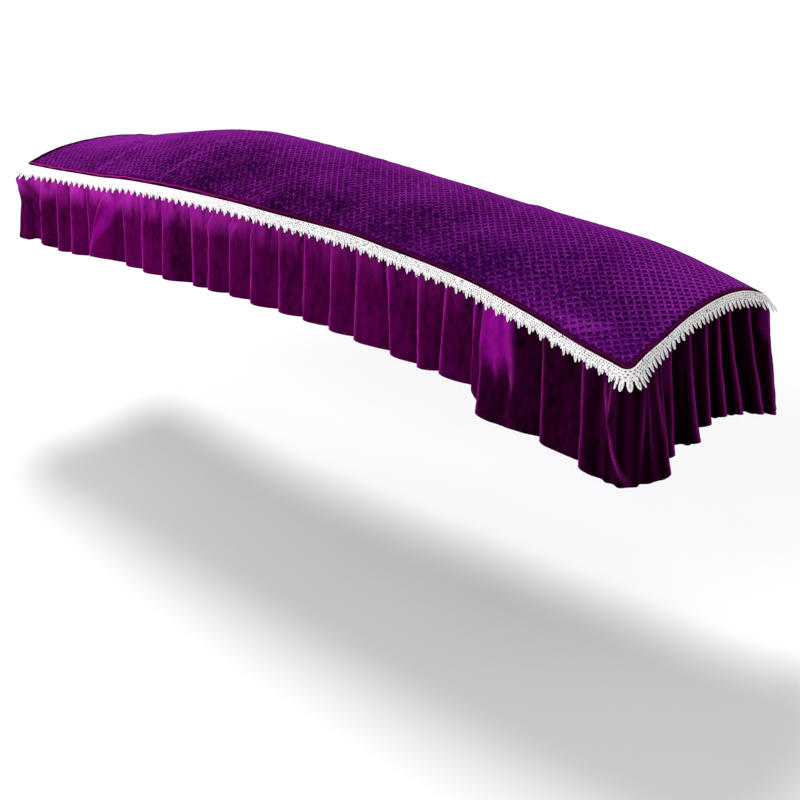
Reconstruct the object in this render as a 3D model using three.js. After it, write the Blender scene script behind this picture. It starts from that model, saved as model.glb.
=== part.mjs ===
import * as THREE from 'three';

// Dust cover for a 163 cm table zither: an arched top of padded velvet, a flat piping
// round its rim, a lace trim under the piping and a skirt of pleated velvet in four strips.
// Millimetres, +Z up, +X towards the wider head end, -Y is the front.
// The origin is on the underside of the top, under its crown, halfway along.

// Driving dimensions
const coverLength = 1668;
const headWidth = 397;
const tailWidth = 328;
const cornerSetback = 16;
const panelThickness = 3;
const panelCornerRadius = 9;
const pipingWidth = 9;
const pieceGap = 0.3;
const clothThickness = 1.2;
const laceThickness = 1;
const laceStart = 1;
const laceRepeat = 24.6;
const skirtStart = 4;
const foldUnder = 14;

const paddedVelvet = new THREE.MeshStandardMaterial({ color: 0x6a1296, roughness: 0.7, metalness: 0 });
const plumTape = new THREE.MeshStandardMaterial({ color: 0x4a0a3c, roughness: 0.6, metalness: 0 });
const laceYarn = new THREE.MeshStandardMaterial({ color: 0xf2efe9, roughness: 0.85, metalness: 0 });
const skirtVelvet = new THREE.MeshStandardMaterial({ color: 0x5a0a72, roughness: 0.75, metalness: 0 });

// Height of the front and back seams along the length, the rise of the crown between
// them, and how far the crown leans to the back
const heightProfile = [
  { x: -834, front: -20, back: -22, rise: 21, lean: -0.25 },
  { x: -740, front: -12, back: -8, rise: 26, lean: -0.2 },
  { x: -650, front: -2, back: 12, rise: 32, lean: -0.1 },
  { x: -560, front: 8, back: 29, rise: 38, lean: 0 },
  { x: -480, front: 20, back: 46, rise: 42, lean: 0 },
  { x: -400, front: 29, back: 60, rise: 45, lean: 0 },
  { x: -300, front: 38, back: 67, rise: 46, lean: 0 },
  { x: -130, front: 50, back: 67, rise: 46, lean: 0 },
  { x: 0, front: 55, back: 64, rise: 45, lean: 0 },
  { x: 130, front: 61, back: 59, rise: 45, lean: 0.05 },
  { x: 210, front: 63, back: 56, rise: 45, lean: 0.1 },
  { x: 300, front: 59, back: 52, rise: 45, lean: 0.1 },
  { x: 400, front: 55, back: 49, rise: 45, lean: 0.15 },
  { x: 500, front: 47, back: 48, rise: 45, lean: 0.15 },
  { x: 580, front: 34, back: 46, rise: 45, lean: 0.2 },
  { x: 660, front: 19, back: 37, rise: 46, lean: 0.25 },
  { x: 740, front: 1, back: 22, rise: 46, lean: 0.3 },
  { x: 834, front: -13, back: 2, rise: 44, lean: 0.3 },
];

// Soft creases of the top: centre, direction, half length, half width and height
const topCreases = [
  { x: -350, y: -100, turn: 75, half: 75, width: 13, height: 3.5 },
  { x: -370, y: -70, turn: 48, half: 150, width: 16, height: 3 },
  { x: -480, y: -60, turn: 40, half: 130, width: 30, height: -4 },
  { x: -180, y: -20, turn: 30, half: 190, width: 34, height: -4 },
  { x: 617, y: -105, turn: 98, half: 80, width: 20, height: -5 },
  { x: 560, y: -60, turn: 60, half: 110, width: 34, height: 3 },
  { x: 300, y: -90, turn: 15, half: 200, width: 28, height: -3 },
  { x: 815, y: -110, turn: 90, half: 45, width: 40, height: -6 },
];

// Folds of the skirt, placed by their distance along the rim from its tail front corner:
// the fold at the top and at the hem, how far the cloth stands off under the lace and at
// the hem, and the drop. The tuck is how far the cloth goes back behind the fold at the
// hem, behind the next pleat if it is above zero, behind the last one if it is below.
// A row with no tuck is a soft bend.
const frontFolds = [
  { at: -18, hem: -20, spread: 31, flare: 36, drop: 174, tuck: 0 },
  { at: -4, hem: -5, spread: 33, flare: 37, drop: 171, tuck: 0 },
  { at: 9, hem: 7, spread: 25, flare: 28, drop: 169, tuck: 0 },
  { at: 30, hem: 27, spread: 11, flare: 9, drop: 168, tuck: 0 },
  { at: 52, hem: 45, spread: 8, flare: 15, drop: 178, tuck: 13 },
  { at: 106, hem: 107, spread: 4, flare: 13, drop: 184, tuck: 11 },
  { at: 159, hem: 157, spread: 4, flare: 12, drop: 185, tuck: 11 },
  { at: 222, hem: 222, spread: 4, flare: 10, drop: 185, tuck: 10 },
  { at: 318, hem: 246, spread: 7, flare: 27, drop: 172, tuck: 15 },
  { at: 346, hem: 356, spread: 4, flare: 12, drop: 187, tuck: 12 },
  { at: 411, hem: 428, spread: 5, flare: 24, drop: 189, tuck: 12 },
  { at: 481, hem: 500, spread: 5, flare: 28, drop: 189, tuck: 13 },
  { at: 571, hem: 597, spread: 5, flare: 25, drop: 189, tuck: 13 },
  { at: 628, hem: 641, spread: 4, flare: 23, drop: 190, tuck: 12 },
  { at: 692, hem: 702, spread: 4, flare: 18, drop: 190, tuck: 12 },
  { at: 757, hem: 771, spread: 4, flare: 23, drop: 191, tuck: 13 },
  { at: 841, hem: 845, spread: 4, flare: 16, drop: 192, tuck: 12 },
  { at: 913, hem: 914, spread: 4, flare: 16, drop: 193, tuck: 12 },
  { at: 984, hem: 992, spread: 4, flare: 20, drop: 194, tuck: 13 },
  { at: 1052, hem: 1060, spread: 4, flare: 22, drop: 195, tuck: 13 },
  { at: 1128, hem: 1145, spread: 4, flare: 12, drop: 196, tuck: 12 },
  { at: 1205, hem: 1219, spread: 4, flare: 19, drop: 197, tuck: 12 },
  { at: 1276, hem: 1258, spread: 3, flare: 4, drop: 198, tuck: 10 },
  { at: 1343, hem: 1333, spread: 4, flare: 0, drop: 199, tuck: 9 },
  { at: 1360, hem: 1392, spread: 8, flare: 54, drop: 199, tuck: 16 },
  { at: 1418, hem: 1452, spread: 7, flare: 42, drop: 199, tuck: 0 },
  { at: 1493, hem: 1513, spread: 5, flare: 26, drop: 200, tuck: 13 },
  { at: 1578, hem: 1597, spread: 5, flare: 25, drop: 201, tuck: 13 },
  { at: 1624, hem: 1640, spread: 4, flare: 16, drop: 203, tuck: 0 },
  { at: 1654, hem: 1658, spread: 11, flare: 12, drop: 204, tuck: 0 },
  { at: 1668, hem: 1672, spread: 18, flare: 16, drop: 206, tuck: 0 },
  { at: 1682, hem: 1684, spread: 18, flare: 19, drop: 209, tuck: 0 },
  { at: 1719, hem: 1708, spread: 12, flare: 34, drop: 216, tuck: 0 },
  { at: 1745, hem: 1736, spread: 9, flare: 47, drop: 218, tuck: -13 },
];
const headFolds = [
  { at: 1777, hem: 1778, spread: 5, flare: 25, drop: 218, tuck: -14 },
  { at: 1827, hem: 1828, spread: 7, flare: 40, drop: 219, tuck: -15 },
  { at: 1875, hem: 1880, spread: 6, flare: 27, drop: 215, tuck: -14 },
  { at: 1910, hem: 1919, spread: 6, flare: 32, drop: 213, tuck: -14 },
  { at: 1942, hem: 1953, spread: 7, flare: 44, drop: 216, tuck: -15 },
  { at: 2000, hem: 2003, spread: 10, flare: 55, drop: 219, tuck: -16 },
  { at: 2056, hem: 2052, spread: 15, flare: 50, drop: 219, tuck: -14 },
];
const backCornerBends = [
  { at: 2067, hem: 2066, spread: 15, flare: 42, drop: 218, tuck: 0 },
  { at: 2080, hem: 2080, spread: 12, flare: 34, drop: 217, tuck: 0 },
];
const tailFolds = [
  { at: 3733, hem: 3733, spread: 9, flare: 26, drop: 191, tuck: 0 },
  { at: 3746, hem: 3748, spread: 8, flare: 24, drop: 190, tuck: 0 },
  { at: 3783, hem: 3787, spread: 7, flare: 28, drop: 190, tuck: -13 },
  { at: 3830, hem: 3834, spread: 9, flare: 36, drop: 188, tuck: -15 },
  { at: 3876, hem: 3877, spread: 10, flare: 26, drop: 187, tuck: -13 },
  { at: 3923, hem: 3920, spread: 13, flare: 38, drop: 185, tuck: -15 },
  { at: 3969, hem: 3967, spread: 17, flare: 31, drop: 184, tuck: -13 },
  { at: 4017, hem: 4010, spread: 25, flare: 42, drop: 180, tuck: -14 },
];

// Even knife pleats along the back, with a small uneven swing
const backFoldCount = 24;
const backHalfPleat = 0.7;

// Curve through the rows of a table, flat past its ends
function curveThrough(rows, from, to) {
  const last = rows.length - 1;
  const slopeAt = (i) => {
    const before = rows[Math.max(i - 1, 0)];
    const after = rows[Math.min(i + 1, last)];
    return (after[to] - before[to]) / (after[from] - before[from]);
  };
  return (value) => {
    let i = 0;
    while (i < last - 1 && value > rows[i + 1][from]) i += 1;
    const span = rows[i + 1][from] - rows[i][from];
    const t = THREE.MathUtils.clamp((value - rows[i][from]) / span, 0, 1);
    const eased = t * t * (3 - 2 * t);
    const startSlope = slopeAt(i) * span * t * (1 - t) * (1 - t);
    const endSlope = slopeAt(i + 1) * span * t * t * (t - 1);
    return rows[i][to] * (1 - eased) + rows[i + 1][to] * eased + startSlope + endSlope;
  };
}

const frontHeight = curveThrough(heightProfile, 'x', 'front');
const backHeight = curveThrough(heightProfile, 'x', 'back');
const crownRise = curveThrough(heightProfile, 'x', 'rise');
const crownLean = curveThrough(heightProfile, 'x', 'lean');

function halfWidth(x) {
  return THREE.MathUtils.lerp(tailWidth, headWidth, x / coverLength + 0.5) / 2;
}

function creaseHeight(x, y) {
  let height = 0;
  for (const crease of topCreases) {
    const turn = THREE.MathUtils.degToRad(crease.turn);
    const along = (x - crease.x) * Math.cos(turn) + (y - crease.y) * Math.sin(turn);
    const across = (y - crease.y) * Math.cos(turn) - (x - crease.x) * Math.sin(turn);
    height += crease.height * Math.exp(-((along / crease.half) ** 2) - (across / crease.width) ** 2);
  }
  return height;
}

// Upper surface of the cover, level with the seam at the rim
function archHeight(x, y) {
  const across = THREE.MathUtils.clamp(y / halfWidth(x), -1, 1);
  const dome = 1 - Math.abs(across) ** 2.2;
  const seam = THREE.MathUtils.lerp(frontHeight(x), backHeight(x), (across + 1) / 2);
  return seam + crownRise(x) * dome * (1 + crownLean(x) * across) + creaseHeight(x, y) * dome;
}

const originHeight = archHeight(0, 0) - panelThickness;
function coverHeight(x, y) {
  return archHeight(x, y) - originHeight;
}

// The rim in plan: a tapered rectangle with round corners, from the front corner of the
// tail along the front, the head, the back and the tail
const rimCorners = [
  new THREE.Vector2(-coverLength / 2, -tailWidth / 2),
  new THREE.Vector2(coverLength / 2, -headWidth / 2),
  new THREE.Vector2(coverLength / 2, headWidth / 2),
  new THREE.Vector2(-coverLength / 2, tailWidth / 2),
];
const rimSides = rimCorners.map((corner, i) => {
  const next = rimCorners[(i + 1) % rimCorners.length];
  return { corner, next, heading: next.clone().sub(corner).normalize(), length: corner.distanceTo(next) };
});

function buildRimPath() {
  const path = new THREE.Path();
  rimSides.forEach((side, i) => {
    const start = side.corner.clone().addScaledVector(side.heading, cornerSetback);
    const end = side.next.clone().addScaledVector(side.heading, -cornerSetback);
    const nextHeading = rimSides[(i + 1) % rimSides.length].heading;
    const turned = side.next.clone().addScaledVector(nextHeading, cornerSetback);
    if (i === 0) path.moveTo(start.x, start.y);
    path.lineTo(end.x, end.y);
    path.quadraticCurveTo(side.next.x, side.next.y, turned.x, turned.y);
  });
  return path;
}

// The path's pieces are a side and then a corner, in turn
const rimPath = buildRimPath();
const pieceEnds = rimPath.getCurveLengths();
const pieceStarts = [0, ...pieceEnds.slice(0, -1)];
const pathLength = pieceEnds[pieceEnds.length - 1];
const cornerLength = pieceEnds[1] - pieceEnds[0];
const sideStarts = rimSides.map((side, i) => rimSides.slice(0, i).reduce((sum, { length }) => sum + length, 0));
const rimLength = sideStarts[3] + rimSides[3].length;

// Distance along the rounded path for a distance along the rim with sharp corners
function pathDistance(at) {
  const wrapped = THREE.MathUtils.euclideanModulo(at, rimLength);
  const side = sideStarts.filter((start) => start <= wrapped).length - 1;
  const share = (wrapped - sideStarts[side]) / rimSides[side].length;
  const from = pieceStarts[side * 2] - cornerLength / 2;
  const to = pieceEnds[side * 2] + cornerLength / 2;
  return THREE.MathUtils.lerp(from, to, share);
}

// A place at the seam: its point on the rim, the way out from it and the seam's height
const tangentStep = 0.5;
function seamPlace(distance) {
  const pointAt = (d) => rimPath.getPoint(THREE.MathUtils.euclideanModulo(d, pathLength) / pathLength);
  const point = pointAt(distance);
  const tangent = pointAt(distance + tangentStep).sub(pointAt(distance - tangentStep)).normalize();
  return { point, outward: new THREE.Vector2(tangent.y, -tangent.x), z: coverHeight(point.x, point.y) };
}

function outFrom(place, out, z) {
  return new THREE.Vector3(place.point.x + place.outward.x * out, place.point.y + place.outward.y * out, z);
}

function meshOf(name, points, faces, material) {
  const geometry = new THREE.BufferGeometry();
  geometry.setAttribute('position', new THREE.Float32BufferAttribute(points.flatMap((p) => [p.x, p.y, p.z]), 3));
  geometry.setIndex(faces.flat());
  geometry.computeVertexNormals();
  const mesh = new THREE.Mesh(geometry, material);
  mesh.name = name;
  return mesh;
}

function quad(a, b, c, d) {
  return [[a, b, c], [a, c, d]];
}

// Closed sheet between an outer and an inner grid of points, as columns of equal rows
function sheetBetween(name, outer, inner, material) {
  const rows = outer[0].length;
  const lastColumn = outer.length - 1;
  const lastRow = rows - 1;
  const out = (i, j) => i * rows + j;
  const back = (i, j) => outer.length * rows + i * rows + j;
  const faces = [];
  for (let i = 0; i < lastColumn; i += 1) {
    for (let j = 0; j < lastRow; j += 1) {
      faces.push(...quad(out(i, j), out(i + 1, j), out(i + 1, j + 1), out(i, j + 1)));
      faces.push(...quad(back(i, j), back(i, j + 1), back(i + 1, j + 1), back(i + 1, j)));
    }
    faces.push(...quad(out(i, 0), back(i, 0), back(i + 1, 0), out(i + 1, 0)));
    faces.push(...quad(out(i, lastRow), out(i + 1, lastRow), back(i + 1, lastRow), back(i, lastRow)));
  }
  for (let j = 0; j < lastRow; j += 1) {
    faces.push(...quad(out(0, j), out(0, j + 1), back(0, j + 1), back(0, j)));
    faces.push(...quad(out(lastColumn, j), back(lastColumn, j), back(lastColumn, j + 1), out(lastColumn, j + 1)));
  }
  return meshOf(name, [...outer.flat(), ...inner.flat()], faces, material);
}

// Padded top: straight columns across the cover, closer together in the round corners
function buildTopPanel() {
  const columns = 48;
  const rows = 11;
  const cornerSteps = 3;
  const straightHalf = coverLength / 2 - pipingWidth - pieceGap - panelCornerRadius;
  const lengthwise = [];
  for (let i = 1; i < columns; i += 1) lengthwise.push(THREE.MathUtils.lerp(-straightHalf, straightHalf, i / columns));
  for (let i = 0; i <= cornerSteps; i += 1) {
    const x = straightHalf + panelCornerRadius * Math.sin((i / cornerSteps) * (Math.PI / 2));
    lengthwise.unshift(-x);
    lengthwise.push(x);
  }
  const upper = lengthwise.map((x) => {
    const intoCorner = Math.max(Math.abs(x) - straightHalf, 0);
    const cut = panelCornerRadius - Math.sqrt(Math.max(panelCornerRadius ** 2 - intoCorner ** 2, 0));
    const reach = halfWidth(x) - pipingWidth - pieceGap - cut;
    return Array.from({ length: rows }, (_, j) => {
      const y = reach * ((2 * j) / (rows - 1) - 1);
      return new THREE.Vector3(x, y, coverHeight(x, y));
    });
  });
  const lower = upper.map((column) => column.map((p) => new THREE.Vector3(p.x, p.y, p.z - panelThickness)));
  return sheetBetween('top_panel', upper, lower, paddedVelvet);
}

// Flat piping, a band with a soft back that lies round the rim of the top: its section
// as a distance in from the seam and a height over the cover's surface
const pipingSection = [
  { inward: 0, above: -3 },
  { inward: 0, above: -0.8 },
  { inward: 2, above: 0.9 },
  { inward: 7, above: 1.1 },
  { inward: pipingWidth, above: 0.3 },
  { inward: pipingWidth, above: -3 },
];

function pipingStations() {
  const stepFor = { long: 48, short: 24, corner: 6 };
  const stations = [];
  pieceEnds.forEach((end, i) => {
    const length = end - pieceStarts[i];
    const kind = length > coverLength / 2 ? 'long' : 'short';
    const steps = Math.round(length / stepFor[i % 2 === 1 ? 'corner' : kind]);
    for (let k = 0; k < steps; k += 1) stations.push(THREE.MathUtils.lerp(pieceStarts[i], end, k / steps));
  });
  return stations;
}

function buildPiping() {
  const stations = pipingStations();
  const points = stations.flatMap((distance) => {
    const place = seamPlace(distance);
    return pipingSection.map(({ inward, above }) => {
      const point = outFrom(place, -inward, 0);
      point.z = coverHeight(point.x, point.y) + above;
      return point;
    });
  });
  const sides = pipingSection.length;
  const faces = [];
  stations.forEach((_, k) => {
    const here = k * sides;
    const next = ((k + 1) % stations.length) * sides;
    pipingSection.forEach((__, j) => {
      const up = (j + 1) % sides;
      faces.push(...quad(here + j, next + j, next + up, here + up));
    });
  });
  return meshOf('rim_piping', points, faces, plumTape);
}

// The back strip goes round the head's back corner with two soft bends
function buildBackFolds() {
  const folds = Array.from({ length: backFoldCount }, (_, i) => {
    const share = (i + backHalfPleat) / backFoldCount;
    const swing = Math.sin(i * 2.4) + 0.6 * Math.sin(i * 5.1 + 1);
    const at = sideStarts[2] + rimSides[2].length * share + 4 * swing;
    return {
      at,
      hem: at + 5 * Math.sin(i * 3.3),
      spread: 5,
      flare: 18 + 5 * swing,
      drop: THREE.MathUtils.lerp(216, 191, share),
      tuck: -13,
    };
  });
  return [...backCornerBends, ...folds];
}
const backFolds = buildBackFolds();

const skirtStrips = [
  { name: 'skirt_front', folds: frontFolds, belly: 2.5 },
  { name: 'skirt_head', folds: headFolds, belly: -10 },
  { name: 'skirt_back', folds: backFolds, belly: 2 },
  { name: 'skirt_tail', folds: tailFolds, belly: -5 },
];

// How far the cloth stands off under the lace, all round the rim
const roundFolds = skirtStrips.flatMap(({ folds }) => folds);
const closingFold = { ...frontFolds[0], at: frontFolds[0].at + rimLength };
const spreadRound = curveThrough([...roundFolds, closingFold], 'at', 'spread');

// Offsets from the seam of the three layers of a fold, at the top of the skirt
const layerAtTop = { outer: -0.9, middle: -3.1, inner: -5.3 };
const laceLevel = 0.14;
const skirtLevels = [1, 0.5, laceLevel, 0];

// Knots of a fold in the order of the rim: the tip and the tuck behind it, in three layers
function foldKnots(fold) {
  const knot = (shift, layer, share) => ({
    ...fold,
    at: fold.at + shift,
    hem: fold.hem + shift,
    spread: spreadRound(fold.at + shift),
    top: layerAtTop[layer],
    depth: Math.abs(fold.tuck) * share,
  });
  if (fold.tuck === 0) return [knot(0, 'outer', 0)];
  const under = Math.sign(fold.tuck) * foldUnder;
  const knots = [
    knot(0, 'inner', 0.8),
    knot(under, 'inner', 0.85),
    knot(under, 'middle', 0.5),
    knot(0, 'middle', 0.4),
    knot(0, 'outer', 0),
  ];
  return fold.tuck > 0 ? knots : knots.reverse();
}

// Middle of a pleat's face at the hem: it bellies out, or sinks in if that is below zero
function faceKnot(a, b, belly) {
  const mixed = {};
  for (const key of ['at', 'hem', 'spread', 'flare', 'drop', 'top', 'depth']) mixed[key] = (a[key] + b[key]) / 2;
  mixed.depth -= belly;
  return mixed;
}

// Standing-off of a knot of the skirt at a level, from 0 at the top to 1 at the hem
function standOff(knot, level) {
  const upper = Math.min(level / laceLevel, 1) * knot.spread;
  const lower = Math.max((level - laceLevel) / (1 - laceLevel), 0) ** 1.2 * (knot.flare - knot.spread);
  return knot.top + upper + lower - knot.depth * level;
}

// Sideways way at a point of a line in plan, longer where the line turns
function sidewaysAt(line, i) {
  const heading = (a, b) => new THREE.Vector2(b.x - a.x, b.y - a.y).normalize();
  const last = line.length - 1;
  const before = heading(line[Math.max(i - 1, 0)], line[Math.max(i, 1)]);
  const after = heading(line[Math.min(i, last - 1)], line[Math.min(i + 1, last)]);
  const middle = before.clone().add(after).normalize();
  const longer = Math.min(1 / Math.max(middle.dot(before), 0.1), 1.5);
  return new THREE.Vector2(middle.y, -middle.x).multiplyScalar(longer);
}

function buildSkirtStrip(name, knots) {
  const outer = knots.map(() => []);
  const inner = knots.map(() => []);
  for (const level of skirtLevels) {
    const line = knots.map((knot) => {
      const place = seamPlace(pathDistance(THREE.MathUtils.lerp(knot.at, knot.hem, level)));
      const z = place.z - THREE.MathUtils.lerp(skirtStart, knot.drop, level);
      return outFrom(place, standOff(knot, level), z);
    });
    line.forEach((point, i) => {
      const side = sidewaysAt(line, i).multiplyScalar(clothThickness / 2);
      outer[i].push(new THREE.Vector3(point.x + side.x, point.y + side.y, point.z));
      inner[i].push(new THREE.Vector3(point.x - side.x, point.y - side.y, point.z));
    });
  }
  return sheetBetween(name, outer, inner, skirtVelvet);
}

// Each strip ends with its last fold, and its knots behind that fold's tip are where the
// next strip starts, out of sight
function buildSkirt() {
  const hidden = 2;
  return skirtStrips.map(({ name, folds, belly }, i) => {
    const previous = skirtStrips[(i + skirtStrips.length - 1) % skirtStrips.length];
    const turnBack = i === 0 ? rimLength : 0;
    const before = foldKnots(previous.folds[previous.folds.length - 1]).slice(-hidden);
    const starts = before.map((knot) => ({ ...knot, at: knot.at - turnBack, hem: knot.hem - turnBack }));
    const last = foldKnots(folds[folds.length - 1]).slice(0, -hidden);
    const groups = [...folds.slice(0, -1).map(foldKnots), last];
    const knots = groups.reduce((all, next) => [...all, faceKnot(all[all.length - 1], next[0], belly), ...next], starts);
    return buildSkirtStrip(name, knots);
  });
}

// One repeat of the lace, as a share of the repeat and a depth: a short and a long drop
// under the heading, with an opening in the long one
const laceOutline = [
  { share: 0, down: 0 },
  { share: 0, down: 17 },
  { share: 0.17, down: 22.5 },
  { share: 0.3, down: 18 },
  { share: 0.47, down: 26.5 },
  { share: 0.62, down: 28 },
  { share: 1, down: 17 },
  { share: 1, down: 0 },
];
const laceOpening = [
  { share: 0.55, down: 12 },
  { share: 0.67, down: 16.5 },
  { share: 0.56, down: 22.5 },
  { share: 0.44, down: 16.5 },
];
const laceDepth = Math.max(...laceOutline.map(({ down }) => down));
const laceStandOff = 0.5;
const laceLean = 1.7;
const laceCornerEase = 2.4;
const laceCornerFan = 5;
const laceCornerReach = 26;

// Starts of the lace's repeats along the path: whole ones on the sides, three short ones
// fanned round each corner
function laceStations() {
  const stations = [];
  pieceEnds.forEach((end, i) => {
    const repeats = i % 2 === 1 ? 3 : Math.round((end - pieceStarts[i]) / laceRepeat);
    for (let k = 0; k < repeats; k += 1) stations.push(THREE.MathUtils.lerp(pieceStarts[i], end, k / repeats));
  });
  return stations;
}

// How near a path distance is to a corner, from 1 at its middle to 0 along the sides
function cornerShare(distance) {
  const middles = rimSides.map((_, i) => pieceEnds[i * 2] + cornerLength / 2);
  const away = Math.min(...[...middles, middles[3] - pathLength].map((middle) => Math.abs(distance - middle)));
  return Math.exp(-((away / laceCornerReach) ** 2));
}

// Distance along the rim with sharp corners for a distance along the rounded path, from
// the bends before the first corner on
function rimDistance(distance) {
  const side = rimSides.findIndex((_, i) => distance < pieceEnds[i * 2] + cornerLength / 2);
  if (side < 0) return distance - pathLength + cornerLength / 2;
  const from = pieceStarts[side * 2] - cornerLength / 2;
  const to = pieceEnds[side * 2] + cornerLength / 2;
  return sideStarts[side] + ((distance - from) / (to - from)) * rimSides[side].length;
}

function buildLace() {
  const stations = laceStations();
  const own = laceOutline.slice(0, -2);
  const local = [...own, ...laceOpening];
  const outline = laceOutline.map(({ share, down }) => new THREE.Vector2(share, -down));
  const opening = laceOpening.map(({ share, down }) => new THREE.Vector2(share, -down));
  const triangles = THREE.ShapeUtils.triangulateShape(outline, [opening]);
  const pointsOn = (layer) => stations.flatMap((start, i) => {
    const end = stations[i + 1] ?? pathLength;
    return local.map(({ share, down }) => {
      const distance = THREE.MathUtils.lerp(start, end, share);
      const place = seamPlace(distance);
      const near = cornerShare(distance);
      const atEdge = spreadRound(rimDistance(distance)) + laceLean + laceCornerFan * near;
      const out = laceStandOff + laceCornerEase * near + atEdge * (down / laceDepth);
      return outFrom(place, out + layer, place.z - laceStart - down);
    });
  });
  const points = [...pointsOn(laceThickness), ...pointsOn(0)];
  const layerSize = stations.length * local.length;
  const faces = [];
  stations.forEach((_, i) => {
    const here = i * local.length;
    const next = ((i + 1) % stations.length) * local.length;
    const ownCount = own.length;
    const index = (k) => {
      if (k < ownCount) return here + k;
      if (k === ownCount) return next + 1;
      if (k === ownCount + 1) return next;
      return here + k - 2;
    };
    for (const [a, b, c] of triangles) {
      faces.push([index(a), index(b), index(c)]);
      faces.push([index(a) + layerSize, index(c) + layerSize, index(b) + layerSize]);
    }
    const wall = (a, b) => faces.push(...quad(index(a), index(a) + layerSize, index(b) + layerSize, index(b)));
    for (let k = 1; k < ownCount; k += 1) wall(k, k + 1);
    wall(laceOutline.length - 1, 0);
    const first = laceOutline.length;
    laceOpening.forEach((__, k) => wall(first + k, first + ((k + 1) % laceOpening.length)));
  });
  return meshOf('rim_lace', points, faces, laceYarn);
}

const group = new THREE.Group();
group.add(buildTopPanel());
group.add(buildPiping());
group.add(buildLace());
group.add(...buildSkirt());

export default group;
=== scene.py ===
import math
from bisect import bisect_right

import bmesh
import bpy
from mathutils import Color, Matrix, Vector, noise


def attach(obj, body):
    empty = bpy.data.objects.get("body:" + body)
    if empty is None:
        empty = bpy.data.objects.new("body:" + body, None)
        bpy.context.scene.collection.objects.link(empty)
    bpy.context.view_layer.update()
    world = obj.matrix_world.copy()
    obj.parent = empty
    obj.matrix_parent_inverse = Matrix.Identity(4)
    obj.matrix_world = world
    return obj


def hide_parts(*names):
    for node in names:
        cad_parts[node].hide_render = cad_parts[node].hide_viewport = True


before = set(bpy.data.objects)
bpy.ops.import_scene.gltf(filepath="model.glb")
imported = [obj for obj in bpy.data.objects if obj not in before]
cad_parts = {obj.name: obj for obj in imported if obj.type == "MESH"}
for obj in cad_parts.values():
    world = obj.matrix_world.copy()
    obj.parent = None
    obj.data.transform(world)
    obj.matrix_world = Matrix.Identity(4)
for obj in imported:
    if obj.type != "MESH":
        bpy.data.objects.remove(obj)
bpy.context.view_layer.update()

print("frame loaded:", sorted(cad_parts))

# The camera comes first: it stands off the head end's front corner and looks down the cover
camera = {
    "place": (2.2698, -2.2333, 0.9641),
    "heading": 133.58,   # degrees from +X
    "pitch": -24.59,
    "roll": -0.27,
    "lens": 76.5,        # mm, on a sensor 36 mm wide
}


def aimedMatrix(place, heading, pitch, roll=0.0):
    aimed = Matrix.Translation(place)
    for angle, axis in ((heading - 90, "Z"), (pitch + 90, "X"), (roll, "Z")):
        aimed = aimed @ Matrix.Rotation(math.radians(angle), 4, axis)
    return aimed


def addObject(name, data, matrix=Matrix()):
    added = bpy.data.objects.new(name, data)
    added.matrix_world = matrix
    bpy.context.collection.objects.link(added)
    return added


def meshFrom(bm, name):
    mesh = bpy.data.meshes.new(name)
    bm.to_mesh(mesh)
    bm.free()
    return mesh


def makeCamera():
    data = bpy.data.cameras.new("camera")
    data.lens = camera["lens"]
    aimed = aimedMatrix(camera["place"], camera["heading"], camera["pitch"], camera["roll"])
    bpy.context.scene.camera = addObject("camera", data, aimed)
    bpy.context.scene.view_settings.view_transform = "Standard"


makeCamera()

# The cover as it hangs, in metres: the same sizes as the solids
cover = {
    "length": 1.668,
    "headWidth": 0.397,
    "tailWidth": 0.328,
    "cornerSetback": 0.016,
    "panelThickness": 0.003,
    "panelCorner": 0.009,
    "pipingWidth": 0.009,
    "gap": 0.0003,
    "domePower": 2.2,      # how square the arch of the top is across
    "narrowCrease": 0.01,  # creases of the top narrower than this get a painted highlight on their crest
    "cornerSteps": 24,
}

# The tables are in millimetres and degrees, and all but these columns become metres
notLengths = {"turn", "lean", "tone", "light"}


def namedRows(columns, rows):
    units = [1 if name in notLengths else 1000 for name in columns]
    return [{name: value / unit for name, value, unit in zip(columns, row, units)} for row in rows]


# Height of the front and back seams along the length, the rise of the crown between them,
# and how far the crown leans to the back
heights = namedRows(("x", "front", "back", "rise", "lean"), [
    (-834, -20, -22, 21, -0.25),
    (-740, -12, -8, 26, -0.2),
    (-650, -2, 12, 32, -0.1),
    (-560, 8, 29, 38, 0),
    (-480, 20, 46, 42, 0),
    (-400, 29, 60, 45, 0),
    (-300, 38, 67, 46, 0),
    (-130, 50, 67, 46, 0),
    (0, 55, 64, 45, 0),
    (130, 61, 59, 45, 0.05),
    (210, 63, 56, 45, 0.1),
    (300, 59, 52, 45, 0.1),
    (400, 55, 49, 45, 0.15),
    (500, 47, 48, 45, 0.15),
    (580, 34, 46, 45, 0.2),
    (660, 19, 37, 46, 0.25),
    (740, 1, 22, 46, 0.3),
    (834, -13, 2, 44, 0.3),
])

# Soft creases of the top: centre, direction, half length, half width and height
creaseColumns = ("x", "y", "turn", "half", "width", "height")
creases = namedRows(creaseColumns, [
    (-350, -98, 68, 70, 9, 4.2),
    (-580, -108, 78, 75, 7, 3),
    (-335, 100, 65, 90, 30, 4),
    (-415, 50, 65, 80, 30, -3),
    (-730, 28, 100, 80, 50, -4),
    (380, 132, 75, 30, 14, 5),
    (702, -160, 17, 50, 6, 2.5),
    (706, -166, 45, 34, 6, 2.5),
    (725, -163, 49, 30, 6, 2.5),
    (632, -165, 95, 30, 12, -3),
    (-370, -70, 48, 150, 16, 3),
    (-480, -60, 40, 130, 30, -4),
    (-180, -20, 30, 190, 34, -4),
    (617, -105, 98, 80, 20, -5),
    (560, -60, 60, 110, 34, 3),
    (300, -90, 15, 200, 28, -3),
    (815, -110, 90, 45, 40, -6),
])

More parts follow.
